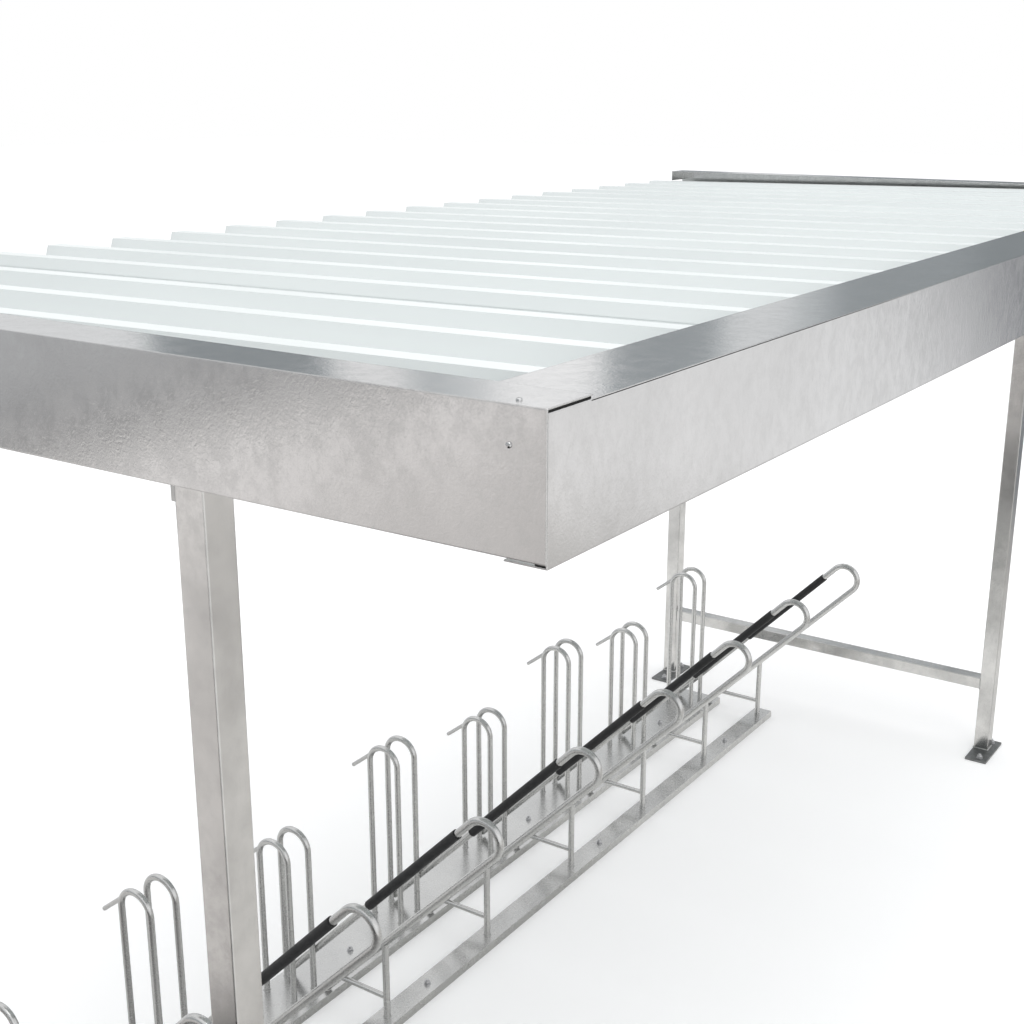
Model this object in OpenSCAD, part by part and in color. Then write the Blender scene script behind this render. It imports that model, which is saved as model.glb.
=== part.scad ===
// Open bike shelter: a level rectangular roof tray carried by two portal frames, over a parking rack.
// +X is the open long side, -X the gutter side, -Y and +Y are the two ends.
// The origin is on the ground, under the middle of the plan.

/* [Overall] */
// Length of the roof over the end fascias, along Y
roof_l = 4660; // [4200:10:6400]
// Width of the roof from the open side to the outer lip of the gutter
roof_w = 2400; // [1900:10:3000]
// Clear height under the end fascias
clear_h = 2290; // [1900:10:2700]
// Fall of the roof towards the gutter, millimetres per metre
roof_fall = 14.4; // [5:0.1:25]

/* [Fascias] */
// Height of the folded fascias
fascia_h = 200; // [180:1:260]
// Sheet thickness of the fascias
fascia_t = 2; // [1.5:0.5:4]
// Width of the top flange on the end fascias
end_flange_w = 105; // [80:1:160]
// Width of the top flange on the open side fascia
open_flange_w = 161; // [90:1:200]
// Width of the bottom flange on the open side fascia
open_foot_w = 66; // [40:1:90]
// Height of the flat hem folded up inside the bottom of the end fascias
hem_h = 15; // [8:1:25]
// Depth of the open side fascia below the end fascias
open_drop = 6; // [4:0.5:10]

/* [Roof sheets] */
// Distance between two ribs of the sheet
rib_pitch = 225; // [180:1:260]
// Height of a rib
rib_h = 45; // [30:1:55]
// Width of the flat crown of a rib
rib_crown = 45; // [30:1:60]
// Slope of the rib flanks
rib_angle = 70; // [50:1:80]
// Thickness of the roof sheet
sheet_t = 0.8; // [0.6:0.1:1.5]
// Length that the sheets run out over the gutter
sheet_overhang = 88; // [40:1:100]
// Middle of the first rib, from the outer face of the end fascia
first_rib = 26; // [24:1:40]

/* [Frame] */
// Width of the square posts
post_w = 62; // [50:1:80]
// Wall of the square posts
post_t = 3; // [2:0.5:6]
// Outer corner radius of the square posts
post_r = 2; // [2:0.5:10]
// Distance of the outer face of the open side posts from the roof edge
open_overhang = 606; // [300:1:800]
// Clear distance between the gutter side posts and the roof's gutter
rear_setback = 20; // [10:1:200]
// Height of the cross beams
beam_h = 120; // [100:5:140]
// Wall of the cross beams
beam_t = 4; // [3:0.5:6]
// Height of the purlins
purlin_h = 100; // [60:5:120]
// Width of the purlins
purlin_w = 50; // [40:5:60]
// Wall of the purlins
purlin_t = 3; // [2:0.5:5]
// Width of the low braces
brace_w = 60; // [40:5:60]
// Height of the low braces
brace_h = 50; // [30:5:80]
// Wall of the low braces
brace_t = 3; // [2:0.5:5]
// Height of the top of the low braces above the ground
brace_top = 343; // [250:1:900]

/* [Fixings] */
// Width of the base plates, across the end of the shelter
plate_w = 92; // [90:1:140]
// Length of the base plates, along the shelter
plate_l = 240; // [215:5:250]
// Distance from the posts' middle to the outer end of the base plates
plate_out = 85; // [80:1:100]
// Distance of the base plates' middle from the posts' middle, towards the open side
plate_shift = 15; // [0:1:15]
// Thickness of the base plates
plate_t = 10; // [8:1:15]
// Distance between the two anchor holes of a base plate
anchor_spacing = 180; // [170:1:190]
// Distance of the anchor holes from the posts' middle, towards the open side
anchor_shift = 25; // [0:1:30]
// Diameter of the anchor holes
anchor_d = 14; // [10:1:18]
// Length of the upright leg of the head cleats
cleat_leg = 41; // [35:1:70]
// Thickness of the head cleats
cleat_t = 8; // [4:1:8]
// Width of the head cleats
cleat_w = 60; // [30:1:60]
// Diameter of the bolt holes in the head cleats
cleat_hole_d = 11; // [7:1:14]

/* [Gutter] */
// Width of the gutter channel
gutter_w = 130; // [110:1:180]
// Depth of the gutter's outer lip below the top of the roof
gutter_lip_drop = 98; // [92:1:120]
// Sheet thickness of the gutter
gutter_t = 1.5; // [1:0.5:3]
// Width of the folded lip along the outer wall
gutter_lip_w = 12; // [8:1:20]
// Outer diameter of the outlet spout
spout_d = 76; // [60:1:90]
// Wall of the outlet spout
spout_t = 2; // [1:0.5:3]
// Length of the outlet spout below the gutter
spout_l = 90; // [50:5:200]
// Distance of the spout from the near end of the roof
spout_y = 180; // [120:5:600]

/* [Wheel hoops] */
// Distance between two places of the parking rack
rack_pitch = 550; // [450:5:600]
// Distance of the hoops' middle from the open side of the roof
hoop_at = 1957; // [1900:1:2000]
// Height of the hoops at every second place
hoop_high = 700; // [625:5:800]
// Height of the hoops at the places between
hoop_low = 600; // [500:5:620]
// Width of a hoop between the middles of its two legs
hoop_w = 120; // [100:5:150]
// Diameter of the hoops' bar
hoop_d = 20; // [16:1:24]
// Clear width of the slot between the two hoops of a place
wheel_slot = 74; // [55:1:90]
// Length of the arm on the rear shoulder of a hoop
arm_l = 105; // [60:5:120]
// Slope of the arms below the level, in degrees
arm_angle = 38; // [20:1:50]
// Diameter of the arms
arm_d = 14; // [10:1:16]

/* [Lean loops] */
// Height of the top of the lean loops
loop_h = 850; // [750:5:950]
// Distance of the loops' upper end from the open side of the roof
loop_end_at = 1154; // [1080:1:1250]
// Slope of the loops, in degrees
loop_angle = 46; // [43:1:50]
// Distance between the middles of the two tubes of a loop
loop_w = 120; // [100:5:140]
// Diameter of the loop tubes
loop_d = 25; // [24:1:28]
// Distance of the legs under the loops from the open side of the roof
leg_at = 1605; // [1550:5:1650]
// Diameter of those legs
leg_d = 22; // [21:1:23]
// Height of the tie bars between the hoops and the legs
tie_z = 100; // [80:5:160]
// Diameter of the tie bars
tie_d = 18; // [16:1:20]
// Distance of the sleeves from the round end of the loops
sleeve_in = 70; // [40:5:150]
// Length of the sleeves
sleeve_l = 500; // [300:10:550]
// Wall of the sleeves
sleeve_t = 3; // [2:0.5:5]

/* [Rack rails] */
// Height of the two floor rails
rail_h = 30; // [20:1:40]
// Wall of the floor rails
rail_t = 4; // [3:0.5:6]
// Width of the rail under the legs
rail_w = 80; // [60:5:120]
// Width left free on the rear rail beside the bars that stand on it
rail_edge = 15; // [10:1:30]
// Length of the rails beyond the outermost places
rail_end = 140; // [100:5:150]
// Diameter of the rails' anchor holes
rail_hole_d = 12; // [8:1:14]

/* [Hidden] */
$fn = 48;
eps = 0.01;
// Clearance between sheets that lap or lie on each other
lap = 0.2;
// Clearance between a sleeve and the tube that it is drawn over
sleeve_gap = 0.3;
// Clearance between parts that are bolted or screwed together
seat = 0.1;
// Distance of the bolt holes from the corner of a head cleat
cleat_bolt = 0.6 * cleat_leg;
// Angle of the fall, and how far it leans the face of a purlin
fall_deg = atan(roof_fall / 1000);
purlin_tilt = fascia_h * roof_fall / 1000;
// Height of the beams' underside above the ground, a from the open side
function beam_under(a) = roof_top - a * tan(fall_deg) + beam_bottom / cos(fall_deg);
roof_top = clear_h + fascia_h;
open_x = roof_w / 2;
near_y = -roof_l / 2;
// Distance from the open side to the inner wall of the gutter
tray_w = roof_w - gutter_w;
// Rib geometry: foot run, and growth of a rib's outline for an offset of 1
rib_run = rib_h / tan(rib_angle);
rib_grow = tan(rib_angle / 2);
// Height left of a cut flank at a side lap
flank_cut = 0.45 * rib_h;
// Highest point of the sheets below the roof top, measured on the tilted plane
crown_z = -open_drop - fascia_t - 0.5;
// Underside of the sheet valleys on the tilted plane
valley_z = crown_z - 2 * sheet_t - lap - rib_h;
// Top of the frame on the tilted plane
frame_z = valley_z - seat;
beam_bottom = frame_z - beam_h;
// Gap between the cut edges of the sheets and the fascias round them
edge_gap = 1;
// Height of the end fascias' return over the end of the gutter, clear above the sheets
return_h = -crown_z + tray_w * tan(fall_deg) - edge_gap;
sheet_l = tray_w + sheet_overhang - fascia_t - edge_gap;
sheet_count = 5;
// Number of whole rib pitches between the end fascias
pitches = floor((roof_l - fascia_t - edge_gap - first_rib - rib_crown / 2 - rib_run) / rib_pitch);
// Distances of the posts' middles from the open side
open_post = open_overhang + post_w / 2;
rear_post = tray_w - rear_setback - post_w / 2;
// Distance of the frames' outer face and of the posts' middle from the end faces
frame_in = 2 * fascia_t + seat;
post_in = frame_in + post_w / 2;
// Distance of the frame from the open side: it clears the fascia when it is tilted
frame_edge = fascia_t + seat + purlin_tilt;
// Purlin middles from the open side
purlin_edge_at = frame_edge + purlin_w / 2;
purlin_rear_at = tray_w - gutter_t - seat - purlin_w / 2;
purlin_mid_at = (open_post + purlin_rear_at) / 2;
gutter_lip_h = fascia_h - gutter_lip_drop;
// Parking rack: its places are counted from the near end
rack_places = 8;
hoop_x = open_x - hoop_at;
leg_x = open_x - leg_at;
// Distance of a hoop's middle plane from the middle of its place
hoop_off = (wheel_slot + hoop_d) / 2;
// Depth to which a loop's tubes sink into the legs of the hoop that they are welded to
weld = 2.5;
// Plane of the lean loops, beside the hoop of the far side
loop_off = hoop_off + (hoop_d + loop_d) / 2 - weld;
// Middle of a loop's round end
loop_x = open_x - loop_end_at - (loop_w + loop_d) / 2;
loop_z = loop_h - (loop_w + loop_d) / 2;
// Length of a loop's straight tubes if they ran down to the ground
loop_run = (loop_z + loop_w) / sin(loop_angle);
// Height of a loop's tube at x; side is 1 for the upper and -1 for the lower one
function loop_tube_z(side, x) =
    loop_z + (x - loop_x) * tan(loop_angle) + side * loop_w / 2 / cos(loop_angle);
// Place along X where the lower tube meets the top of the rear rail
loop_foot_x = loop_x - (loop_tube_z(-1, loop_x) - rail_h) / tan(loop_angle);
// Edges of the rear rail: it carries the hoops and the feet of the loops
rear_rail_x1 = hoop_x - (hoop_w + hoop_d) / 2 - rail_edge;
rear_rail_x2 = rail_edge + max(hoop_x + (hoop_w + hoop_d) / 2,
    loop_foot_x + loop_d / 2 / sin(loop_angle));
rail_l = (rack_places - 1) * rack_pitch + 2 * rail_end;

// Places children at the top of the open near corner, on the tilted roof plane
module roof_plane() {
    translate([open_x, near_y, roof_top]) rotate([0, -fall_deg, 0]) children();
}

// Places children at the top of the open near corner, level
module roof_corner() {
    translate([open_x, near_y, roof_top]) children();
}

// Places children at the near end or, mirrored, at the far end
module at_end(far) {
    mirror([0, far ? 1 : 0, 0]) children();
}

// Square with round corners, centred
module round_square(w, h, r) {
    square([w - 2 * r, h], center = true);
    square([w, h - 2 * r], center = true);
    for (sx = [-1, 1], sy = [-1, 1])
        translate([sx * (w / 2 - r), sy * (h / 2 - r)]) circle(r);
}

// Section of a rectangular hollow tube, centred
module tube_section(w, h, t, r) {
    difference() {
        round_square(w, h, r);
        round_square(w - 2 * t, h - 2 * t, max(r - t, 0.5));
    }
}

// Tube along X from x1 to x2, its middle at y, its top at z and its corners rounded by r
module tube_x(x1, x2, y, z, w, h, t, r) {
    translate([x1, y, z - h / 2]) rotate([90, 0, 90])
        linear_extrude(x2 - x1) tube_section(w, h, t, r);
}

// Tube along Y from y1 to y2, its middle at x and its top at z
module tube_y(y1, y2, x, z, w, h, t) {
    translate([x, y2, z - h / 2]) rotate([90, 0, 0])
        linear_extrude(y2 - y1) tube_section(w, h, t, 2 * t);
}

// Post with its middle a from the open side, cut off under the tilted beam
module post(a, far) {
    color([0.72, 0.72, 0.71])
    at_end(far) difference() {
        translate([open_x - a, near_y + post_in, plate_t])
            linear_extrude(roof_top - plate_t) tube_section(post_w, post_w, post_t, post_r);
        roof_plane() translate([-roof_w, -post_w, beam_bottom])
            cube([2 * roof_w, 4 * post_w, 2 * beam_h + fascia_h]);
    }
}

// Base plate with an anchor hole at each end, longer towards the inside and wider towards the open side
module base(a, far) {
    color([0.66, 0.67, 0.68])
    at_end(far) translate([open_x - a, near_y + post_in - plate_out, 0])
        difference() {
            translate([plate_shift - plate_w / 2, 0, 0]) cube([plate_w, plate_l, plate_t]);
            for (side = [-1, 1])
                translate([anchor_shift, (plate_l + side * anchor_spacing) / 2, -eps])
                    cylinder(d = anchor_d, h = plate_t + 2 * eps);
        }
}

// Head cleat: an angle beside a post, bolted up under the beam; side is 1 on the post's gutter side
module cleat(a, side, far) {
    face = a + side * (post_w / 2 + seat);
    lowest = max(face, face + side * cleat_leg);
    color([0.68, 0.69, 0.7])
    at_end(far)
        translate([open_x - face, near_y + post_in - cleat_w / 2, beam_under(lowest) - seat])
        mirror([side < 0 ? 1 : 0, 0, 0])
        difference() {
            union() {
                translate([-cleat_leg, 0, -cleat_t]) cube([cleat_leg, cleat_w, cleat_t]);
                translate([-cleat_t, 0, -cleat_leg]) cube([cleat_t, cleat_w, cleat_leg]);
            }
            translate([-cleat_bolt, cleat_w / 2, -cleat_t - 1])
                cylinder(d = cleat_hole_d, h = cleat_t + 2);
            translate([-cleat_t - 1, cleat_w / 2, -cleat_bolt])
                rotate([0, 90, 0]) cylinder(d = cleat_hole_d, h = cleat_t + 2);
        }
}

// Low brace between the two posts of a frame
module brace(far) {
    color([0.7, 0.7, 0.69])
    at_end(far) tube_x(open_x - rear_post + post_w / 2 + seat, open_x - open_post - post_w / 2 - seat,
        near_y + post_in, brace_top, brace_w, brace_h, brace_t, post_r);
}

// Cross beam over the two posts of a frame
module beam(far) {
    color([0.68, 0.69, 0.7])
    at_end(far) roof_plane()
        tube_x(-(tray_w - gutter_t - seat), -frame_edge, post_in, frame_z,
            post_w, beam_h, beam_t, 2 * beam_t);
}

// Purlin along the roof between the cross beams, its middle a from the open side
module purlin(a) {
    color([0.66, 0.67, 0.69])
    roof_plane()
        tube_y(post_in + post_w / 2 + seat, roof_l - post_in - post_w / 2 - seat,
            -a, frame_z, purlin_w, purlin_h, purlin_t);
}

// Half width of a rib at height z, on an outline offset outwards by d
function flank_at(z, d) = rib_crown / 2 + (rib_h - z) / tan(rib_angle) + d / sin(rib_angle);
function crown_at(d) = rib_crown / 2 + d * rib_grow;

// Outline of the rib at y, offset outwards by d, with its flanks cut at the heights left and right
function rib_line(y, d, left, right) = concat(
    is_undef(left) ? [] : [[y - flank_at(left, d), left]],
    [[y - crown_at(d), rib_h + d], [y + crown_at(d), rib_h + d], [y + flank_at(right, d), right]]);

// Rib at which sheet n begins; sheet n ends on the first rib of the next one
function sheet_start(n) = round((n - 1) * pitches / sheet_count);

// One face of sheet n, offset outwards by d, with its valleys at height v
function sheet_line(n, d, v) = [
    for (i = [sheet_start(n) : sheet_start(n + 1)])
        each rib_line(first_rib + i * rib_pitch,
            n > 1 && i == sheet_start(n) ? d + sheet_t + lap : d,
            i > sheet_start(n) ? v : n > 1 ? flank_cut : undef,
            i < sheet_start(n + 1) || n == sheet_count ? v : flank_cut),
    if (n == sheet_count) [roof_l - fascia_t - edge_gap, v]
];

function reversed(list) = [for (i = [len(list) - 1 : -1 : 0]) list[i]];

// One trapezoidal roof sheet; it laps over the last rib of the sheet before it
module roof_sheet(n) {
    color([0.88, 0.9, 0.9])
    roof_plane() translate([-fascia_t - edge_gap, 0, valley_z])
        rotate([90, 0, -90]) mirror([1, 0, 0])
            linear_extrude(sheet_l)
                polygon(concat(sheet_line(n, sheet_t, sheet_t), reversed(sheet_line(n, 0, 0))));
}

// Folded end fascia: web, top flange, a flat hem along the bottom and a return beside the gutter
module fascia_end(far) {
    color([0.72, 0.72, 0.71])
    at_end(far) roof_corner() translate([-tray_w, 0, -fascia_h]) {
        cube([tray_w, fascia_t, fascia_h]);
        translate([0, 0, fascia_h - fascia_t]) cube([tray_w, end_flange_w, fascia_t]);
        translate([0, fascia_t, 0]) cube([tray_w - fascia_t - seat, fascia_t, hem_h]);
        translate([0, 0, fascia_h - return_h]) cube([fascia_t, end_flange_w, return_h]);
    }
}

// Folded fascia of the open side, a little lower and between the end fascias
module fascia_side() {
    y1 = fascia_t + seat;
    span = roof_l - 2 * y1;
    top = -open_drop;
    color([0.76, 0.77, 0.78])
    roof_corner() translate([0, y1, top - fascia_h]) {
        translate([-fascia_t, 0, 0]) cube([fascia_t, span, fascia_h]);
        translate([-open_flange_w, 0, fascia_h - fascia_t]) cube([open_flange_w, span, fascia_t]);
        translate([-open_foot_w, 0, 0]) cube([open_foot_w, span, fascia_t]);
    }
}

// Section of the gutter: inner wall, floor, outer wall and folded lip
module gutter_section() {
    square([gutter_w - seat, gutter_t]);
    translate([gutter_w - seat - gutter_t, 0])
        square([gutter_t, gutter_lip_h + valley_drop()]);
    square([gutter_t, gutter_lip_h]);
    translate([0, gutter_lip_h - gutter_t]) square([gutter_lip_w, gutter_t]);
}

// Height of the gutter's inner wall above its outer wall, up to just under the sheets
function valley_drop() =
    max(0, gutter_lip_drop + valley_z * cos(fall_deg) - tray_w * sin(fall_deg) - 4);

// Gutter trough with the hole for its spout
module gutter_trough() {
    color([0.7, 0.71, 0.72])
    difference() {
        translate([-open_x, -near_y - gutter_t - seat, roof_top - fascia_h]) rotate([90, 0, 0])
            linear_extrude(roof_l - 2 * (gutter_t + seat)) gutter_section();
        translate([-open_x + gutter_w / 2, near_y + spout_y, roof_top - fascia_h - 1])
            cylinder(d = spout_d - 2 * spout_t, h = gutter_t + 2);
    }
}

// Flat cap that closes an end of the gutter
module gutter_cap(far) {
    color([0.68, 0.69, 0.7])
    at_end(far) translate([-open_x, near_y, roof_top - fascia_h])
        cube([gutter_w - seat, gutter_t, gutter_lip_h]);
}

// Outlet spout under the gutter
module spout() {
    color([0.66, 0.67, 0.69])
    translate([-open_x + gutter_w / 2, near_y + spout_y, roof_top - fascia_h - spout_l - seat])
        difference() {
            cylinder(d = spout_d, h = spout_l);
            translate([0, 0, -eps]) cylinder(d = spout_d - 2 * spout_t, h = spout_l + 2 * eps);
        }
}

// Middle of place n of the rack along Y, and the height of its hoops
function place_y(n) = (n - (rack_places + 1) / 2) * rack_pitch;
function hoop_top(n) = n % 2 == 0 ? hoop_high : hoop_low;

// Round bar of diameter d from point p to point q
module bar(p, q, d) {
    way = q - p;
    translate(p) rotate([0, acos(way[2] / norm(way)), atan2(way[1], way[0])])
        cylinder(d = d, h = norm(way));
}

// Half ring of a round bar in the XZ plane, bent over the top, w wide between its ends
module bend(w, d) {
    rotate([90, 0, 0]) rotate_extrude(angle = 180) translate([w / 2, 0]) circle(d = d);
}

// Wheel hoop with round shoulders, its top at height top
module hoop(top) {
    shoulder = top - (hoop_w + hoop_d) / 2;
    for (side = [-1, 1]) bar([side * hoop_w / 2, 0, 0], [side * hoop_w / 2, 0, shoulder], hoop_d);
    translate([0, 0, shoulder]) bend(hoop_w, hoop_d);
}

// Arm that slopes down to the rear from a hoop's rear shoulder
module arm(top) {
    turn = 26;
    shoulder = top - (hoop_w + hoop_d) / 2;
    start = [-hoop_w / 2 * cos(turn), 0, shoulder + hoop_w / 2 * sin(turn)];
    bar(start, start - arm_l * [cos(arm_angle), 0, sin(arm_angle)], arm_d);
}

// Lean loop: two sloping tubes with a round upper end, a leg and a tie bar.
// The upper tube ends at the rear leg of the hoop, the tie bar in the lower tube.
module lean_loop() {
    rear_leg_x = hoop_x - hoop_w / 2;
    tie_x = loop_x - (loop_tube_z(-1, loop_x) - tie_z) / tan(loop_angle);
    upper_run = (loop_x - loop_w / 2 * sin(loop_angle) - rear_leg_x) / cos(loop_angle);
    translate([loop_x, loop_off, loop_z]) rotate([0, 90 - loop_angle, 0]) {
        bend(loop_w, loop_d);
        bar([-loop_w / 2, 0, -upper_run], [-loop_w / 2, 0, 0], loop_d);
        bar([loop_w / 2, 0, -loop_run], [loop_w / 2, 0, 0], loop_d);
    }
    bar([leg_x, loop_off, 0], [leg_x, loop_off, loop_tube_z(-1, leg_x)], leg_d);
    bar([tie_x, loop_off, tie_z], [leg_x, loop_off, tie_z], tie_d);
}

// Place n of the rack: two hoops for a wheel, and a lean loop welded to the hoop of the far side
module rack_place(n) {
    color([0.66, 0.67, 0.67])
    translate([0, place_y(n), 0]) difference() {
        union() {
            for (side = [-1, 1]) translate([hoop_x, side * hoop_off, 0]) hoop(hoop_top(n));
            translate([hoop_x, -hoop_off, 0]) arm(hoop_top(n));
            lean_loop();
        }
        // the feet are cut off level on the rails
        translate([-roof_w, -rack_pitch / 2, -roof_w]) cube([2 * roof_w, rack_pitch, roof_w + rail_h]);
    }
}

// Sleeves on the upper tubes of all the lean loops
module rack_sleeves() {
    color([0.1, 0.1, 0.1])
    for (n = [1 : rack_places])
        translate([loop_x, place_y(n) + loop_off, loop_z]) rotate([0, 90 - loop_angle, 0])
            translate([-loop_w / 2, 0, -sleeve_in - sleeve_l])
            difference() {
                cylinder(d = loop_d + 2 * (sleeve_gap + sleeve_t), h = sleeve_l);
                translate([0, 0, -eps]) cylinder(d = loop_d + 2 * sleeve_gap, h = sleeve_l + 2 * eps);
            }
}

// Floor rail from x1 to x2: a channel open downwards, with anchor holes between the places
module rack_rail(x1, x2) {
    color([0.64, 0.65, 0.66])
    difference() {
        translate([x1, -rail_l / 2, 0]) cube([x2 - x1, rail_l, rail_h]);
        translate([x1 + rail_t, -rail_l / 2 - eps, -eps])
            cube([x2 - x1 - 2 * rail_t, rail_l + 2 * eps, rail_h - rail_t + eps]);
        for (gap = [-3 : 2 : 3])
            translate([(x1 + x2) / 2, gap * rack_pitch, 0]) cylinder(d = rail_hole_d, h = rail_h + 1);
    }
}

post(open_post, false);  // post_near_open
post(rear_post, false);  // post_near_rear
post(open_post, true);  // post_far_open
post(rear_post, true);  // post_far_rear
base(open_post, false);  // base_near_open
base(rear_post, false);  // base_near_rear
base(open_post, true);  // base_far_open
base(rear_post, true);  // base_far_rear
cleat(open_post, 1, false);  // cleat_near_open
cleat(rear_post, -1, false);  // cleat_near_rear
cleat(open_post, 1, true);  // cleat_far_open
cleat(rear_post, -1, true);  // cleat_far_rear
brace(false);  // brace_near
brace(true);  // brace_far
beam(false);  // beam_near
beam(true);  // beam_far
purlin(purlin_edge_at);  // purlin_edge
purlin(open_post);  // purlin_front
purlin(purlin_mid_at);  // purlin_middle
purlin(purlin_rear_at);  // purlin_rear
roof_sheet(1);  // sheet_1
roof_sheet(2);  // sheet_2
roof_sheet(3);  // sheet_3
roof_sheet(4);  // sheet_4
roof_sheet(5);  // sheet_5
fascia_end(false);  // fascia_near
fascia_end(true);  // fascia_far
fascia_side();  // fascia_open
gutter_trough();  // gutter
gutter_cap(false);  // gutter_cap_near
gutter_cap(true);  // gutter_cap_far
spout();  // gutter_spout
rack_rail(leg_x - rail_w / 2, leg_x + rail_w / 2);  // rack_rail_front
rack_rail(rear_rail_x1, rear_rail_x2);  // rack_rail_rear
rack_sleeves();
rack_place(1);  // rack_place_1
rack_place(2);  // rack_place_2
rack_place(3);  // rack_place_3
rack_place(4);  // rack_place_4
rack_place(5);  // rack_place_5
rack_place(6);  // rack_place_6
rack_place(7);  // rack_place_7
rack_place(8);  // rack_place_8
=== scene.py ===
"""Looks of an open bike shelter: zinc sheet, hollow sections, coated roof sheets and small fixings.

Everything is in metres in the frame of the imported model: +X is the open long side, -X the gutter
side, -Y the near end, and the ground is z = 0.
"""

import math

import bmesh
import bpy
from mathutils import Matrix, Vector


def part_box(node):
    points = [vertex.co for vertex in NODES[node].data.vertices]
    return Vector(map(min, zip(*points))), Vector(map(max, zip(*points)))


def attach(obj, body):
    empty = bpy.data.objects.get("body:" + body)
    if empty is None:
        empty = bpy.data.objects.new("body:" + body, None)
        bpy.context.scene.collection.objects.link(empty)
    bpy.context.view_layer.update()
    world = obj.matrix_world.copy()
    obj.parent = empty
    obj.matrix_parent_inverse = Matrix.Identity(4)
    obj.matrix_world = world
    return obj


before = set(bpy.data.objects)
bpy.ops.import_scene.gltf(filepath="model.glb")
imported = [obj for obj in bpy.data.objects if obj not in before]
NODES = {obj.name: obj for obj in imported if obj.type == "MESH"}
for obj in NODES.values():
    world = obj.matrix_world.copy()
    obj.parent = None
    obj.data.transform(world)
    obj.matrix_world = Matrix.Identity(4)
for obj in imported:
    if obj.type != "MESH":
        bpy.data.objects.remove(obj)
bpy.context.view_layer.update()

# Camera, worked out from the photograph's lines: a 50 mm lens on a 36 mm sensor, its turns in
# degrees and its place in metres from the near open corner of the roof
LENS_MM = 50.0
SENSOR_MM = 36.0
CAMERA_DOWN = 16.63
CAMERA_TURN = 34.32
CAMERA_FROM_CORNER = Vector((0.9076, -1.4050, 0.3702))
CAMERA_REACH = 200.0

# Floor
FLOOR_HALF = 60.0
FLOOR_COLOUR = (0.86, 0.86, 0.86)
FLOOR_GLOW = 0.24
# Floor in reflections. Before the near end its colour goes along X, by stops of (metres, colour)
YARD_NEAR = [(-14.0, (0.52, 0.525, 0.535)), (-10.6, (0.56, 0.565, 0.57)),
             (-9.0, (0.40, 0.40, 0.405)), (-8.0, (0.32, 0.32, 0.32)),
             (-7.2, (0.50, 0.49, 0.48)), (-6.4, (0.93, 0.905, 0.89)),
             (-5.2, (0.91, 0.88, 0.865)), (-4.1, (0.74, 0.715, 0.70)),
             (-3.0, (0.64, 0.615, 0.60)), (2.0, (0.66, 0.635, 0.62)),
             (3.0, (1.0, 1.0, 0.99)), (14.0, (1.0, 1.0, 0.99))]
# Beyond, it goes by the turn about a point of the open side, by stops of (degrees, colour)
YARD_CORNER = (1.2, 1.8)
YARD_FAR = [(-75.0, (0.62, 0.60, 0.58)), (-68.0, (0.70, 0.68, 0.66)),
            (-61.0, (0.85, 0.835, 0.82)), (-57.0, (0.90, 0.89, 0.885)),
            (-28.0, (0.90, 0.90, 0.90)), (-23.0, (0.92, 0.92, 0.92)),
            (-20.0, (0.72, 0.72, 0.73)), (-18.0, (0.35, 0.355, 0.37)),
            (-16.0, (0.17, 0.18, 0.195)), (12.0, (0.34, 0.355, 0.37)),
            (40.0, (0.80, 0.80, 0.80))]
# Within reach of that point it has the colours of the floor under, beside and behind the roof
YARD_UNDER = (0.93, 0.92, 0.90)
YARD_BESIDE = (0.64, 0.625, 0.605)
YARD_BEHIND = (0.44, 0.43, 0.415)
# Where one turns into the next: along Y from the near stops to what lies beyond, by the reach from
# the point, along X from under the roof to beside it, and along Y from there to behind it
YARD_BEYOND = (-3.2, -0.8)
YARD_REACH = (2.0, 6.0)
YARD_OUT = (0.5, 1.4)
YARD_BACK = (1.0, 3.0)
# Dark patch before the near end: where it begins, is full, fades and ends
PATCH_X = (-1.15, -0.6, 1.6, 2.3)
PATCH_Y = (-13.0, -10.0, -3.7, -0.4)
# In reflections the floor under the far part of the roof glows, as a share of FLOOR_GLOW
INSIDE_GLOW = 0.85
INSIDE_X = (0.9, 1.5)
INSIDE_Y = (0.3, 0.9, 2.1, 2.5)

# Studio in reflections: brightness at the horizon and from a height on, and tints where it is plain
# and where it is darkened. Heights are sines of the angle above the horizon.
STUDIO_LOW, STUDIO_HIGH, STUDIO_HEIGHT = 0.86, 1.12, 0.9
STUDIO_PLAIN = (0.985, 0.99, 1.0)
STUDIO_DARKENED = (0.86, 0.99, 1.06)
# Panels low round it: from and to in degrees of turn from +Y towards -X, how much darker (below 0:
# lighter) and blur in degrees. They fade out between the two heights of PANEL_TOP.
STUDIO_PANELS = [
    (-186.0, -158.0, 0.50, 6.0),
    (-150.0, -70.0, -0.40, 8.0),
    (-19.0, 22.4, 0.60, 1.5),
    (-19.0, 16.5, 0.08, 1.0),
    (22.4, 25.9, 0.14, 0.4),
    (25.9, 30.5, 0.57, 0.4),
    (30.8, 34.8, -0.14, 0.4),
    (35.3, 36.9, 0.24, 0.4),
    (36.9, 38.5, 0.38, 0.4),
    (41.7, 48.7, 0.63, 0.4),
    (48.7, 75.0, 0.08, 0.4),
    (108.0, 153.0, 0.40, 6.0),
    (153.0, 186.0, 0.50, 6.0),
]
PANEL_TOP = (0.37, 0.46)

MM = 0.001
# Colour sockets of a mix node
MIX_A, MIX_B, MIX_RESULT = 6, 7, 2

# Patterns of the zinc: clouds, patches and wrinkles in metres, flakes per metre, the sum of the
# patterns' shares in the tone, and how much the grains add to the relief of the wrinkles
ZINC_CLOUD, ZINC_PATCH, ZINC_WRINKLE, ZINC_FLAKES = 0.22, 0.030, 0.0085, 120.0
ZINC_CONTRAST = 0.95
GRAIN_RELIEF = 0.13

# Ends of the roof, each with the way along Y that leads into the roof
ENDS = (("near", 1), ("far", -1))
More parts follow.
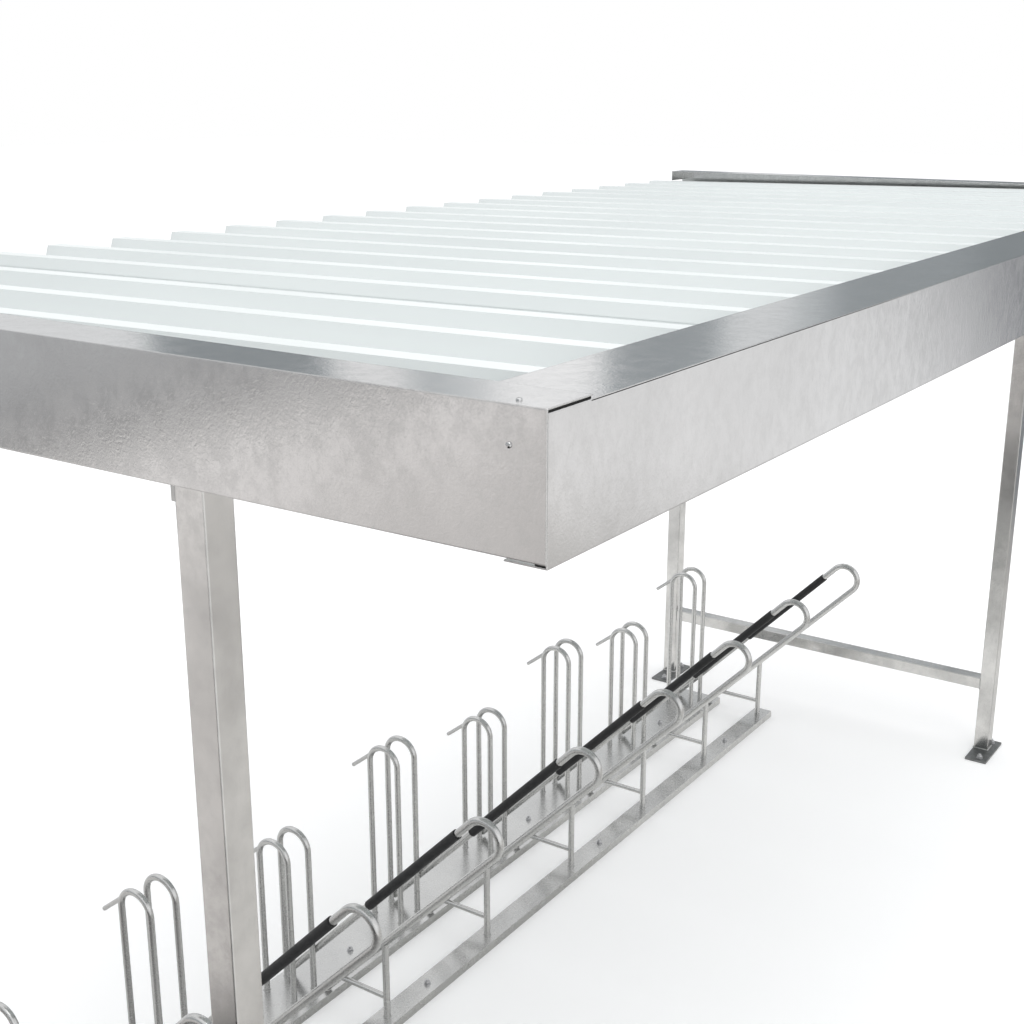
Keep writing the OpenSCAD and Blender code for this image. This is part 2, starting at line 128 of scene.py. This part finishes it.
# Places and sizes of the fixings, from the corners and middles of the parts they hold
SCREW_IN, SCREW_DEPTH, SCREW_DROP, SCREW_HEAD = 0.0563, 0.0223, 0.0525, 0.0084
RIVET_IN, RIVET_HEAD = 0.012, 0.0075
CLEAT_T, CLEAT_BOLT, BOLT_D = 0.008, 0.0246, 0.0085
SIDE_BOLT_TURN, TOP_BOLT_TURN = 0.3, 0.1
ANCHOR_SHIFT, ANCHOR_HALF, ANCHOR_D, RAIL_ANCHOR_D = 0.010, 0.090, 0.012, 0.010
# Rack: places along Y, anchors of its rails in pitches, and where bars, loops and legs stand
RACK_PLACES, RACK_PITCH = 8, 0.55
RAIL_ANCHORS = (-3, -1, 1, 3)
HOOP_HALF, HOOP_OFF, LOOP_OFF = 0.06, 0.047, 0.067
HOOP_X, LEG_X, LOOP_FOOT_X = -0.757, -0.405, -0.665
# Weld beads: their radius, the step between their rings, how far their paths lie outside the part,
# and the half sizes of the round paths
POST_BEAD, BRACE_BEAD, FRAME_WELD_STEP = 0.0028, 0.0024, 0.003
WELD_OUT, BRACE_WELD_OUT = 0.001, 0.0005
RACK_BEAD, RACK_WELD_STEP, RACK_BEAD_SIDES = 0.002, 0.0032, 6
HOOP_WELD, LOOP_WELD, LEG_WELD = (0.0105, 0.0105), (0.0180, 0.0130), (0.0115, 0.0115)
# Black strips of painted shadow in the corner laps of the open side: set in from the outer faces,
# clear of the sheet that they lie against, or of its other face, and how far they reach along Y and
# X
SHADOW_STRIP_IN, SHADOW_STRIP_EDGE = 0.0022, 0.0008
SHADOW_STRIP_CLEAR, SHADOW_STRIP_SHEET = 0.0001, 0.0021
WEDGE_Y, WEDGE_X = 0.103, 0.159
PLUG_Y, PLUG_X = 0.040, 0.019
# Thin black rod of painted shadow in the lap just under the top fold of the open side
SEAM_R, SEAM_SUNK, SEAM_DROP, SEAM_LENGTH = 0.0009, 0.0005, 0.0019, 1.4


def low(node):
    """Lowest corner of a CAD node."""
    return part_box(node)[0]


def high(node):
    """Highest corner of a CAD node."""
    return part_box(node)[1]


def centre(node):
    """Middle of a CAD node's box."""
    return (low(node) + high(node)) / 2


def end_face(node, inward):
    """Y of a node's outer face at the end of the roof where inward leads into the roof."""
    return low(node).y if inward > 0 else high(node).y


class Nodes:
    """A node tree that is built up by short calls."""

    def __init__(self, tree):
        self.tree = tree

    def add(self, kind, inputs=None, **settings):
        """Adds a node; an input is a number, a colour or another node's output."""
        node = self.tree.nodes.new(kind)
        for key, value in settings.items():
            setattr(node, key, value)
        for key, value in (inputs or {}).items():
            self.put(node.inputs[key], value)
        return node

    def put(self, socket, value):
        """Links another node's output to a socket, or sets the socket's value."""
        if isinstance(value, bpy.types.NodeSocket):
            self.tree.links.new(value, socket)
        else:
            socket.default_value = value

    def ramp(self, value, low_in, high_in, low_out, high_out):
        """Maps a value from one range to another, with soft ends."""
        ranges = {"Value": value, "From Min": low_in, "From Max": high_in,
                  "To Min": low_out, "To Max": high_out}
        return self.add("ShaderNodeMapRange", ranges,
                        interpolation_type="SMOOTHSTEP").outputs["Result"]

    def band(self, value, rise, full, fall, end):
        """1 between full and fall, with soft sides down to 0 at rise and at end."""
        return self.math("MULTIPLY", self.ramp(value, rise, full, 0.0, 1.0),
                         self.ramp(value, fall, end, 1.0, 0.0))

    def math(self, operation, a, b=0.0, c=0.0):
        """Result of a math node with up to three inputs."""
        node = self.tree.nodes.new("ShaderNodeMath")
        node.operation = operation
        for socket, value in zip(node.inputs, (a, b, c)):
            self.put(socket, value)
        return node.outputs[0]

    def blend(self, share, a, b):
        """Colour a where share is 0, colour b where it is 1."""
        node = self.add("ShaderNodeMix", data_type="RGBA")
        self.put(node.inputs["Factor"], share)
        self.put(node.inputs[MIX_A], a)
        self.put(node.inputs[MIX_B], b)
        return node.outputs[MIX_RESULT]

    def gradient(self, value, stops):
        """Colour that follows a value through (value, colour) stops."""
        first, last = stops[0][0], stops[-1][0]
        scale = self.add("ShaderNodeMapRange", {"Value": value, "From Min": first,
                                                "From Max": last})
        node = self.add("ShaderNodeValToRGB", {"Fac": scale.outputs["Result"]})
        marks = node.color_ramp.elements
        for at, colour in stops[1:-1]:
            marks.new((at - first) / (last - first))
        for mark, (at, colour) in zip(marks, stops):
            mark.color = rgb(*colour)
        return node.outputs["Color"]

    def split(self, vector):
        """X, Y and Z of a vector."""
        return self.add("ShaderNodeSeparateXYZ", {"Vector": vector}).outputs

    def turn(self, x, y):
        """Direction in the ground plane, in degrees from +Y towards -X."""
        angle = self.math("ARCTAN2", self.math("MULTIPLY", x, -1.0), y)
        return self.math("MULTIPLY", angle, 180.0 / math.pi)


class Shader(Nodes):
    """A surface material with noise in the object's own coordinates."""

    def __init__(self, name):
        self.material = bpy.data.materials.new(name)
        self.material.use_nodes = True
        super().__init__(self.material.node_tree)
        self.shader = self.tree.nodes["Principled BSDF"]
        self.place = self.tree.nodes.new("ShaderNodeTexCoord").outputs["Object"]

    def stretched(self, scale, seed=0.0):
        """The object's own coordinates, scaled along each axis."""
        shift = (seed, seed * 0.37, seed * 0.71)
        return self.add("ShaderNodeMapping", {"Vector": self.place, "Scale": scale,
                                              "Location": shift}).outputs["Vector"]

    def noise(self, size, detail, roughness, stretch=(1.0, 1.0, 1.0), seed=0.0, distortion=0.0):
        """Cloud noise from 0 to 1 whose blotches are about size metres across."""
        scale = tuple(s / size for s in stretch)
        return self.add("ShaderNodeTexNoise", {"Vector": self.stretched(scale, seed), "Scale": 1.0,
                                               "Detail": detail, "Roughness": roughness,
                                               "Distortion": distortion}).outputs["Fac"]

    def bump(self, height, distance, strength=1.0, under=None):
        """Normal of a relief in which height 1 is distance in metres, laid over that of under."""
        node = self.add("ShaderNodeBump", {"Height": height, "Distance": distance,
                                           "Strength": strength})
        if under is not None:
            self.put(node.inputs["Normal"], under)
        return node.outputs["Normal"]


def rgb(red, green, blue):
    """A colour as linear values with full opacity."""
    return (red, green, blue, 1.0)


def zinc(name, light, dark, rough, streak, cloudy=0.35, grainy=0.15, spangle=0.10,
         dent_mm=0.07, fold_mm=1.5, grain_mm=2.0):
    """Galvanised steel: cloudy zinc with crystal flakes, streaks, fine grain and faint dents.

    light and dark are the two zinc tones, rough is the lowest and highest roughness and streak
    stretches the clouds along each axis. cloudy, grainy and spangle share out the contrast, dent_mm
    is the depth of the dents, fold_mm the radius that the folds and cut edges seem to have and
    grain_mm the size of the grains.
    """
    s = Shader(name)
    # noise stays near its middle, so each ramp spreads it from 0 to 1
    cloud = s.ramp(s.noise(ZINC_CLOUD, 5.0, 0.55, streak, seed=3.0), 0.32, 0.68, 0.0, 1.0)
    patch = s.ramp(s.noise(ZINC_PATCH, 6.0, 0.66, streak, seed=11.0), 0.28, 0.72, 0.0, 1.0)
    grain = s.ramp(s.noise(grain_mm * MM, 3.0, 0.65, seed=23.0), 0.30, 0.70, 0.0, 1.0)
    wrinkle = s.noise(ZINC_WRINKLE, 2.5, 0.60, streak, seed=31.0, distortion=1.2)
    cells = s.add("ShaderNodeTexVoronoi", {"Vector": s.stretched(streak, 5.0),
                                           "Scale": ZINC_FLAKES}, feature="F1")
    flake = s.add("ShaderNodeSeparateColor", {"Color": cells.outputs["Color"]}).outputs["Red"]
    patchy = ZINC_CONTRAST - cloudy - grainy - spangle
    mix = s.math("MULTIPLY_ADD", cloud, cloudy, s.math("MULTIPLY", patch, patchy))
    mix = s.math("MULTIPLY_ADD", grain, grainy, mix)
    mix = s.math("MULTIPLY_ADD", flake, spangle, mix)
    s.put(s.shader.inputs["Base Color"], s.blend(mix, rgb(*dark), rgb(*light)))
    s.shader.inputs["Metallic"].default_value = 1.0
    gloss = s.math("MULTIPLY_ADD", flake, 0.15, s.math("MULTIPLY", patch, 0.6))
    gloss = s.math("MULTIPLY_ADD", grain, 0.25, gloss)
    s.put(s.shader.inputs["Roughness"], s.ramp(gloss, 0.2, 0.8, rough[1], rough[0]))
    fold = s.add("ShaderNodeBevel", {"Radius": fold_mm * MM}, samples=4).outputs["Normal"]
    relief = s.math("MULTIPLY_ADD", grain, GRAIN_RELIEF, wrinkle)
    s.put(s.shader.inputs["Normal"], s.bump(relief, dent_mm * MM, under=fold))
    return s.material


def coated_sheet():
    """Pale coated roof sheet: a smooth cool white with faint dust and drawing lines."""
    s = Shader("roof_sheet_coat")
    dust = s.noise(0.45, 5.0, 0.6, (0.35, 1.0, 1.0), seed=7.0)
    line = s.noise(0.02, 3.0, 0.6, (0.03, 1.0, 1.0), seed=13.0)
    tone = s.math("MULTIPLY_ADD", s.ramp(dust, 0.3, 0.7, 0.0, 1.0), 0.7,
                  s.math("MULTIPLY", line, 0.3))
    s.put(s.shader.inputs["Base Color"],
          s.blend(tone, rgb(0.660, 0.690, 0.687), rgb(0.702, 0.732, 0.727)))
    s.put(s.shader.inputs["Roughness"], s.ramp(dust, 0.25, 0.75, 0.34, 0.46))
    s.put(s.shader.inputs["Normal"], s.bump(s.noise(0.004, 2.0, 0.5, seed=17.0), 0.05 * MM, 0.35))
    return s.material


def sleeve_rubber():
    """Black sleeve over the lean loops: dull, with faint scuffs."""
    s = Shader("rack_sleeve_black")
    scuff = s.noise(0.03, 5.0, 0.65, seed=61.0)
    s.put(s.shader.inputs["Base Color"],
          s.blend(scuff, rgb(0.012, 0.012, 0.013), rgb(0.03, 0.03, 0.031)))
    s.put(s.shader.inputs["Roughness"], s.ramp(scuff, 0.3, 0.7, 0.62, 0.5))
    s.shader.inputs["Specular IOR Level"].default_value = 0.35
    s.put(s.shader.inputs["Normal"], s.bump(s.noise(0.002, 2.0, 0.5, seed=67.0), 0.05 * MM, 0.4))
    return s.material


def steel(name, tone, rough, metallic=1.0):
    """Fine-grained steel of screws, bolts and weld beads, or black rubber if metallic is 0."""
    s = Shader(name)
    grain = s.noise(0.002, 3.0, 0.6, seed=41.0)
    dark = tuple(0.8 * c for c in tone)
    s.put(s.shader.inputs["Base Color"], s.blend(grain, rgb(*dark), rgb(*tone)))
    s.shader.inputs["Metallic"].default_value = metallic
    s.put(s.shader.inputs["Roughness"], s.ramp(grain, 0.3, 0.7, rough, rough + 0.15))
    return s.material


def assign(material, slot, *prefixes):
    """Gives the CAD nodes whose names start with a prefix their material; slot is not used."""
    for name, piece in NODES.items():
        if name.startswith(prefixes):
            piece.data.materials.clear()
            piece.data.materials.append(material)


def mesh_piece(name, build, material, smooth_angle=35.0):
    """Makes a piece from a bmesh that build() fills and lets it ride on the frame."""
    mesh = bpy.data.meshes.new(name)
    bm = bmesh.new()
    build(bm)
    bmesh.ops.recalc_face_normals(bm, faces=bm.faces)
    bm.to_mesh(mesh)
    bm.free()
    mesh.materials.append(material)
    piece = bpy.data.objects.new(name, mesh)
    bpy.context.scene.collection.objects.link(piece)
    mesh.shade_smooth()
    mesh.set_sharp_from_angle(angle=math.radians(smooth_angle))
    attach(piece, "root")


def frame_at(place, axis):
    """Matrix that puts local +Z along axis at a place."""
    turned = Vector(axis).to_track_quat("Z", "Y").to_matrix().to_4x4()
    return Matrix.Translation(place) @ turned


def revolve(bm, at, profile, sides, turn=0.0):
    """Solid about local Z from a profile of (radius, height) points, closed at both ends."""
    rings = []
    for radius, height in profile:
        ring = []
        for i in range(sides):
            a = turn + 2 * math.pi * i / sides
            point = Vector((radius * math.cos(a), radius * math.sin(a), height))
            ring.append(bm.verts.new(at @ point))
        rings.append(ring)
    for lower, upper in zip(rings, rings[1:]):
        for i in range(sides):
            j = (i + 1) % sides
            bm.faces.new((lower[i], lower[j], upper[j], upper[i]))
    bm.faces.new(list(reversed(rings[0])))
    bm.faces.new(rings[-1])


def pan_screw(bm, place, axis, d):
    """Pan-head screw of head diameter d, with a round drive recess."""
    at = frame_at(place, axis)
    r = d / 2
    revolve(bm, at, [(r, 0.0), (r, 0.16 * d), (0.86 * r, 0.30 * d), (0.55 * r, 0.38 * d),
                     (0.34 * r, 0.39 * d), (0.30 * r, 0.20 * d)], 20)


def rivet(bm, place, axis, d):
    """Domed blind rivet of head diameter d, with the hollow end of its pin."""
    at = frame_at(place, axis)
    r = d / 2
    revolve(bm, at, [(r, 0.0), (0.94 * r, 0.08 * d), (0.66 * r, 0.19 * d), (0.36 * r, 0.23 * d),
                     (0.30 * r, 0.14 * d)], 20)


def hex_bolt(bm, place, axis, d, turn=0.0):
    """Washer and hexagon head of a bolt with shank diameter d, on the surface at place."""
    at = frame_at(place, axis)
    washer, head = 0.16 * d, 0.65 * d
    revolve(bm, at, [(1.08 * d, 0.0), (1.08 * d, washer)], 24)
    r = 0.95 * d
    revolve(bm, at, [(r, washer), (r, washer + 0.88 * head), (0.86 * r, washer + head)], 6, turn)


def anchor(bm, place, d):
    """Washer, nut and stud end of a ground anchor."""
    at = frame_at(place, (0, 0, 1))
    washer, nut = 0.2 * d, 0.85 * d
    revolve(bm, at, [(1.15 * d, 0.0), (1.15 * d, washer)], 24)
    revolve(bm, at, [(0.90 * d, washer), (0.97 * d, washer + 0.12 * nut),
                     (0.97 * d, washer + 0.88 * nut), (0.90 * d, washer + nut)], 6)
    revolve(bm, at, [(0.5 * d, washer + nut), (0.5 * d, washer + nut + 0.5 * d),
                     (0.42 * d, washer + nut + 0.6 * d)], 18)


def bead(bm, path, radius, sides=8):
    """Closed weld bead along a path of points, with ripples and slight swells."""
    rings = []
    for i, point in enumerate(path):
        ahead = (path[(i + 1) % len(path)] - path[i - 1]).normalized()
        across = Vector((0, 0, 1)).cross(ahead)
        across = across.normalized() if across.length > 0.1 else Vector((0, 1, 0))
        up = ahead.cross(across)
        swell = 0.10 * (i % 2) + 0.10 * math.sin(0.37 * i) + 0.06 * math.sin(1.13 * i)
        r = radius * (1.0 + swell)
        ring = []
        for k in range(sides):
            a = 2 * math.pi * k / sides
            ring.append(bm.verts.new(point + r * (math.cos(a) * across + math.sin(a) * up)))
        rings.append(ring)
    for i, ring in enumerate(rings):
        after = rings[(i + 1) % len(rings)]
        for k in range(sides):
            m = (k + 1) % sides
            bm.faces.new((ring[k], after[k], after[m], ring[m]))


def square_path(middle, half_a, half_b, a_axis, b_axis, step):
    """Points about step apart round a rectangle about middle, spanned by two axes."""
    a, b = Vector(a_axis) * half_a, Vector(b_axis) * half_b
    corners = [middle + a + b, middle - a + b, middle - a - b, middle + a - b]
    points = []
    for start, end in zip(corners, corners[1:] + corners[:1]):
        count = max(2, round((end - start).length / step))
        points += [start.lerp(end, (i + 0.5) / count) for i in range(count)]
    return points


def round_path(middle, half_x, half_y, step):
    """Points about step apart round a level ellipse about middle."""
    count = max(12, round(math.pi * (half_x + half_y) / step))
    turns = [2 * math.pi * i / count for i in range(count)]
    return [middle + Vector((half_x * math.cos(a), half_y * math.sin(a), 0)) for a in turns]


def lip_strip(bm, y1, y2, x1, x2, z1, z2):
    """Black strip along X that stands for painted shadow in a gap: a flat strip with a round lip
    along both of its edges.
    """
    half = (z2 - z1) / 2
    points = 7
    outline = []
    for middle, first in ((y2 - half, -90), (y1 + half, 90)):
        for k in range(points):
            a = math.radians(first + 180 * k / (points - 1))
            outline.append((middle + half * math.cos(a), z1 + half + half * math.sin(a)))
    waist = (y1 + y2) / 2
    outline.insert(points, (waist, z2 - 0.25 * half))
    outline.append((waist, z1 + 0.25 * half))
    ends = [[bm.verts.new((x, y, z)) for y, z in outline] for x in (x1, x2)]
    for i in range(len(outline)):
        j = (i + 1) % len(outline)
        bm.faces.new((ends[0][i], ends[0][j], ends[1][j], ends[1][i]))
    bm.faces.new(list(reversed(ends[0])))
    bm.faces.new(ends[1])


def fixings():
    """Screws, rivets, bolts, anchors, weld beads, and black strips of painted shadow in the roof's
    open corners.
    """
    screw_zinc = steel("screw_zinc", tone=(0.70, 0.70, 0.70), rough=0.14)
    bolt_zinc = steel("bolt_zinc", tone=(0.62, 0.62, 0.63), rough=0.25)
    weld_zinc = steel("weld_zinc", tone=(0.56, 0.56, 0.55), rough=0.30)
    # Matt black, non-metallic: painted shadow for the strips in the corner gaps
    gap_shadow_black = steel("gap_shadow_black", tone=(0.003, 0.003, 0.003), rough=0.85, metallic=0.0)

    def corner_screws(bm):
        for end, inward in ENDS:
            corner, face = high("fascia_" + end), end_face("fascia_" + end, inward)
            x = corner.x - SCREW_IN
            pan_screw(bm, (x, face + inward * SCREW_DEPTH, corner.z), (0, 0, 1), SCREW_HEAD)
            pan_screw(bm, (x, face, corner.z - SCREW_DROP), (0, -inward, 0), SCREW_HEAD)

    def cap_rivets(bm):
        for end, inward in ENDS:
            cap = "gutter_cap_" + end
            y, z = end_face(cap, inward), low(cap).z + RIVET_IN
            for x in (low(cap).x + RIVET_IN, centre(cap).x, high(cap).x - RIVET_IN):
                rivet(bm, (x, y, z), (0, -inward, 0), RIVET_HEAD)

    def cleat_bolts(bm):
        for name in NODES:
            if name.startswith("cleat_"):
                y, top = centre(name).y, high(name).z
                side = 1 if name.endswith("open") else -1
                corner = high(name).x if side > 0 else low(name).x
                in_leg = (corner - side * CLEAT_T, y, top - CLEAT_BOLT)
                in_top = (corner - side * CLEAT_BOLT, y, top - CLEAT_T)
                hex_bolt(bm, in_leg, (-side, 0, 0), BOLT_D, SIDE_BOLT_TURN)
                hex_bolt(bm, in_top, (0, 0, -1), BOLT_D, TOP_BOLT_TURN)

    def anchors(bm):
        for name in NODES:
            middle, top = centre(name), high(name).z
            if name.startswith("base_"):
                for way in (-1, 1):
                    place = (middle.x + ANCHOR_SHIFT, middle.y + way * ANCHOR_HALF, top)
                    anchor(bm, place, ANCHOR_D)
            if name.startswith("rack_rail_"):
                for pitches in RAIL_ANCHORS:
                    anchor(bm, (middle.x, pitches * RACK_PITCH, top), RAIL_ANCHOR_D)

    def frame_welds(bm):
        for name in NODES:
            lowest, highest, middle = low(name), high(name), centre(name)
            half = (highest - lowest) / 2
            if name.startswith("post_"):
                foot = Vector((middle.x, middle.y, lowest.z))
                path = square_path(foot, half.x + WELD_OUT, half.y + WELD_OUT,
                                   (1, 0, 0), (0, 1, 0), FRAME_WELD_STEP)
                bead(bm, path, POST_BEAD)
            if name.startswith("brace_"):
                for x in (lowest.x, highest.x):
                    end = Vector((x, middle.y, middle.z))
                    path = square_path(end, half.y + BRACE_WELD_OUT, half.z + WELD_OUT,
                                       (0, 1, 0), (0, 0, 1), FRAME_WELD_STEP)
                    bead(bm, path, BRACE_BEAD)

    def rack_welds(bm):
        top = high("rack_rail_rear").z

        def foot_weld(x, y, half_sizes):
            path = round_path(Vector((x, y, top)), *half_sizes, RACK_WELD_STEP)
            bead(bm, path, RACK_BEAD, RACK_BEAD_SIDES)

        for n in range(RACK_PLACES):
            y = (n + 0.5 - RACK_PLACES / 2) * RACK_PITCH
            for way in (-1, 1):
                for leg in (-1, 1):
                    foot_weld(HOOP_X + leg * HOOP_HALF, y + way * HOOP_OFF, HOOP_WELD)
            foot_weld(LOOP_FOOT_X, y + LOOP_OFF, LOOP_WELD)
            foot_weld(LEG_X, y + LOOP_OFF, LEG_WELD)

    # Black strips and a thin black rod in the laps of the open corners: painted shadow in the gaps
    def gap_shadow_strips(bm):
        foot, side = low("fascia_open"), high("fascia_open")
        for end, inward in ENDS:
            web, flange = low("fascia_" + end), high("fascia_" + end)
            face = end_face("fascia_" + end, inward)
            y1, y2 = sorted((face + inward * SHADOW_STRIP_IN, face + inward * WEDGE_Y))
            lip_strip(bm, y1, y2, side.x - WEDGE_X, side.x - SHADOW_STRIP_EDGE,
                      side.z + SHADOW_STRIP_CLEAR, flange.z - SHADOW_STRIP_SHEET)
            # Thin black rod along the lap: a painted shadow line
            start = Vector((side.x - SEAM_SUNK, face + inward * WEDGE_Y, side.z - SEAM_DROP))
            revolve(bm, frame_at(start, (0, inward, 0)),
                    [(SEAM_R, 0.0), (SEAM_R, SEAM_LENGTH / 2), (0.5 * SEAM_R, SEAM_LENGTH)], 8)
            y1, y2 = sorted((face + inward * SHADOW_STRIP_IN, face + inward * PLUG_Y))
            lip_strip(bm, y1, y2, side.x - PLUG_X, side.x - SHADOW_STRIP_IN,
                      foot.z + SHADOW_STRIP_SHEET, web.z - SHADOW_STRIP_CLEAR)

    mesh_piece("corner_screws", corner_screws, screw_zinc)
    mesh_piece("cap_rivets", cap_rivets, screw_zinc)
    mesh_piece("cleat_bolts", cleat_bolts, bolt_zinc)
    mesh_piece("anchors", anchors, bolt_zinc)
    mesh_piece("frame_welds", frame_welds, weld_zinc, smooth_angle=60.0)
    mesh_piece("rack_welds", rack_welds, weld_zinc, smooth_angle=60.0)
    # Painted shadow: black strips and rod in the gaps at the open corners
    mesh_piece("corner_gap_shadows", gap_shadow_strips, gap_shadow_black)


def world_light():
    """A plain bright studio: white to the camera, softly graded with panels for reflections."""
    world = bpy.data.worlds.new("studio")
    bpy.context.scene.world = world
    world.use_nodes = True
    n = Nodes(world.node_tree)
    n.tree.nodes.clear()
    x, y, height = n.split(n.add("ShaderNodeTexCoord").outputs["Generated"])
    turn = n.turn(x, y)
    dark = 0.0
    for start, end, depth, blur in STUDIO_PANELS:
        band = n.band(turn, start - blur, start + blur, end - blur, end + blur)
        dark = n.math("MULTIPLY_ADD", band, depth, dark)
    dark = n.math("MULTIPLY", dark, n.ramp(height, *PANEL_TOP, 1.0, 0.0))
    graded = n.ramp(height, 0.0, STUDIO_HEIGHT, STUDIO_LOW, STUDIO_HIGH)
    level = n.math("MULTIPLY", graded, n.math("SUBTRACT", 1.0, dark))
    colour = n.blend(n.math("MAXIMUM", dark, 0.0), rgb(*STUDIO_PLAIN), rgb(*STUDIO_DARKENED))
    lit = n.add("ShaderNodeBackground", {"Color": colour, "Strength": level})
    shown = n.add("ShaderNodeBackground", {"Color": rgb(1.0, 1.0, 1.0)})
    path = n.add("ShaderNodeLightPath")
    mix = n.add("ShaderNodeMixShader", {0: path.outputs["Is Camera Ray"], 1: lit.outputs[0],
                                        2: shown.outputs[0]})
    n.add("ShaderNodeOutputWorld", {"Surface": mix.outputs[0]})


def floor():
    """Pale floor that keeps the shadows; reflections see a yard of varied tone in its place."""
    mesh = bpy.data.meshes.new("floor")
    s = FLOOR_HALF
    mesh.from_pydata([(-s, -s, 0), (s, -s, 0), (s, s, 0), (-s, s, 0)], [], [(0, 1, 2, 3)])
    material = bpy.data.materials.new("floor")
    material.use_nodes = True
    n = Nodes(material.node_tree)
    n.tree.nodes.clear()
    path = n.add("ShaderNodeLightPath").outputs
    x, y = n.split(n.add("ShaderNodeNewGeometry").outputs["Position"])[:2]
    east, north = n.math("SUBTRACT", x, YARD_CORNER[0]), n.math("SUBTRACT", y, YARD_CORNER[1])
    far = n.gradient(n.turn(east, north), YARD_FAR)
    reach = n.math("SQRT", n.math("MULTIPLY_ADD", east, east, n.math("MULTIPLY", north, north)))
    beside = n.blend(n.ramp(y, *YARD_BACK, 0.0, 1.0), rgb(*YARD_BESIDE), rgb(*YARD_BEHIND))
    nearby = n.blend(n.ramp(x, *YARD_OUT, 0.0, 1.0), rgb(*YARD_UNDER), beside)
    far = n.blend(n.ramp(reach, *YARD_REACH, 0.0, 1.0), nearby, far)
    yard = n.blend(n.ramp(y, *YARD_BEYOND, 0.0, 1.0), n.gradient(x, YARD_NEAR), far)
    patch = n.math("MULTIPLY", n.band(x, *PATCH_X), n.band(y, *PATCH_Y))
    yard = n.blend(patch, yard, rgb(0.0, 0.0, 0.0))
    colour = n.blend(path["Is Glossy Ray"], rgb(*FLOOR_COLOUR), yard)
    matt = n.add("ShaderNodeBsdfDiffuse", {"Color": colour})
    direct = n.math("MAXIMUM", path["Is Camera Ray"], path["Is Transmission Ray"])
    inside = n.math("MULTIPLY", n.ramp(x, *INSIDE_X, INSIDE_GLOW, 0.0), n.band(y, *INSIDE_Y))
    direct = n.math("MAXIMUM", direct, n.math("MULTIPLY", path["Is Glossy Ray"], inside))
    glow = n.add("ShaderNodeEmission", {"Strength": n.math("MULTIPLY", direct, FLOOR_GLOW)})
    both = n.add("ShaderNodeAddShader", {0: matt.outputs[0], 1: glow.outputs[0]})
    n.add("ShaderNodeOutputMaterial", {"Surface": both.outputs[0]})
    mesh.materials.append(material)
    piece = bpy.data.objects.new("floor", mesh)
    bpy.context.scene.collection.objects.link(piece)


def lamp(name, place, aim, size, watts):
    """Large soft square lamp."""
    light = bpy.data.lights.new(name, "AREA")
    light.size = size
    light.energy = watts
    piece = bpy.data.objects.new(name, light)
    piece.location = place
    towards = Vector(aim) - Vector(place)
    piece.rotation_euler = towards.to_track_quat("-Z", "Y").to_euler()
    bpy.context.scene.collection.objects.link(piece)


def camera():
    """Camera at the photograph's viewing angle, placed from the near open corner of the roof."""
    corner = Vector((high("fascia_near").x, low("fascia_near").y, high("fascia_near").z))
    data = bpy.data.cameras.new("camera")
    data.lens = LENS_MM
    data.sensor_width = SENSOR_MM
    data.clip_end = CAMERA_REACH
    piece = bpy.data.objects.new("camera", data)
    piece.location = corner + CAMERA_FROM_CORNER
    piece.rotation_euler = (math.radians(90 - CAMERA_DOWN), 0.0, math.radians(CAMERA_TURN))
    bpy.context.scene.collection.objects.link(piece)
    bpy.context.scene.camera = piece


bpy.context.scene.view_settings.view_transform = "Standard"
camera()
world_light()
floor()
lamp("top_lamp", place=(1.5, -2.0, 9.0), aim=(0.0, 0.0, 1.0), size=7.0, watts=300.0)

assign(zinc("fascia_zinc", light=(0.725, 0.72, 0.715), dark=(0.605, 0.60, 0.595),
            rough=(0.12, 0.20), streak=(1.0, 1.0, 0.75), cloudy=0.40, grainy=0.24, spangle=0.10,
            dent_mm=0.14, fold_mm=3.5, grain_mm=4.0),
       "fascia_zinc", "fascia")
assign(zinc("post_zinc", light=(0.745, 0.738, 0.724), dark=(0.515, 0.510, 0.501),
            rough=(0.17, 0.25), streak=(1.0, 1.0, 0.9), cloudy=0.7, grainy=0.02, spangle=0.03,
            dent_mm=0.03, fold_mm=5.0),
       "post_zinc", "post", "brace")
# The base plates get far darker zinc tones than the other parts: painted shade and dark reflection
# at the post feet
assign(zinc("plate_zinc", light=(0.26, 0.265, 0.265), dark=(0.14, 0.145, 0.145),
            rough=(0.35, 0.50), streak=(1.0, 1.0, 1.0)),
       "plate_zinc", "base")
assign(zinc("frame_zinc", light=(0.67, 0.67, 0.66), dark=(0.54, 0.54, 0.53),
            rough=(0.26, 0.38), streak=(1.0, 0.6, 1.0)),
       "frame_zinc", "beam", "purlin", "cleat")
assign(zinc("gutter_zinc", light=(0.73, 0.73, 0.72), dark=(0.60, 0.60, 0.59),
            rough=(0.16, 0.26), streak=(1.0, 0.5, 1.0), fold_mm=2.5),
       "gutter_zinc", "gutter")
assign(coated_sheet(), "roof_sheet", "sheet")
assign(zinc("rack_zinc", light=(0.62, 0.62, 0.61), dark=(0.55, 0.55, 0.545),
            rough=(0.25, 0.28), streak=(1.0, 1.0, 1.0), cloudy=0.8, grainy=0.02, spangle=0.03,
            dent_mm=0.01, fold_mm=1.0),
       "rack_zinc", "rack_rail", "rack_place")
assign(sleeve_rubber(), "rack_sleeve", "rack_sleeves")

fixings()
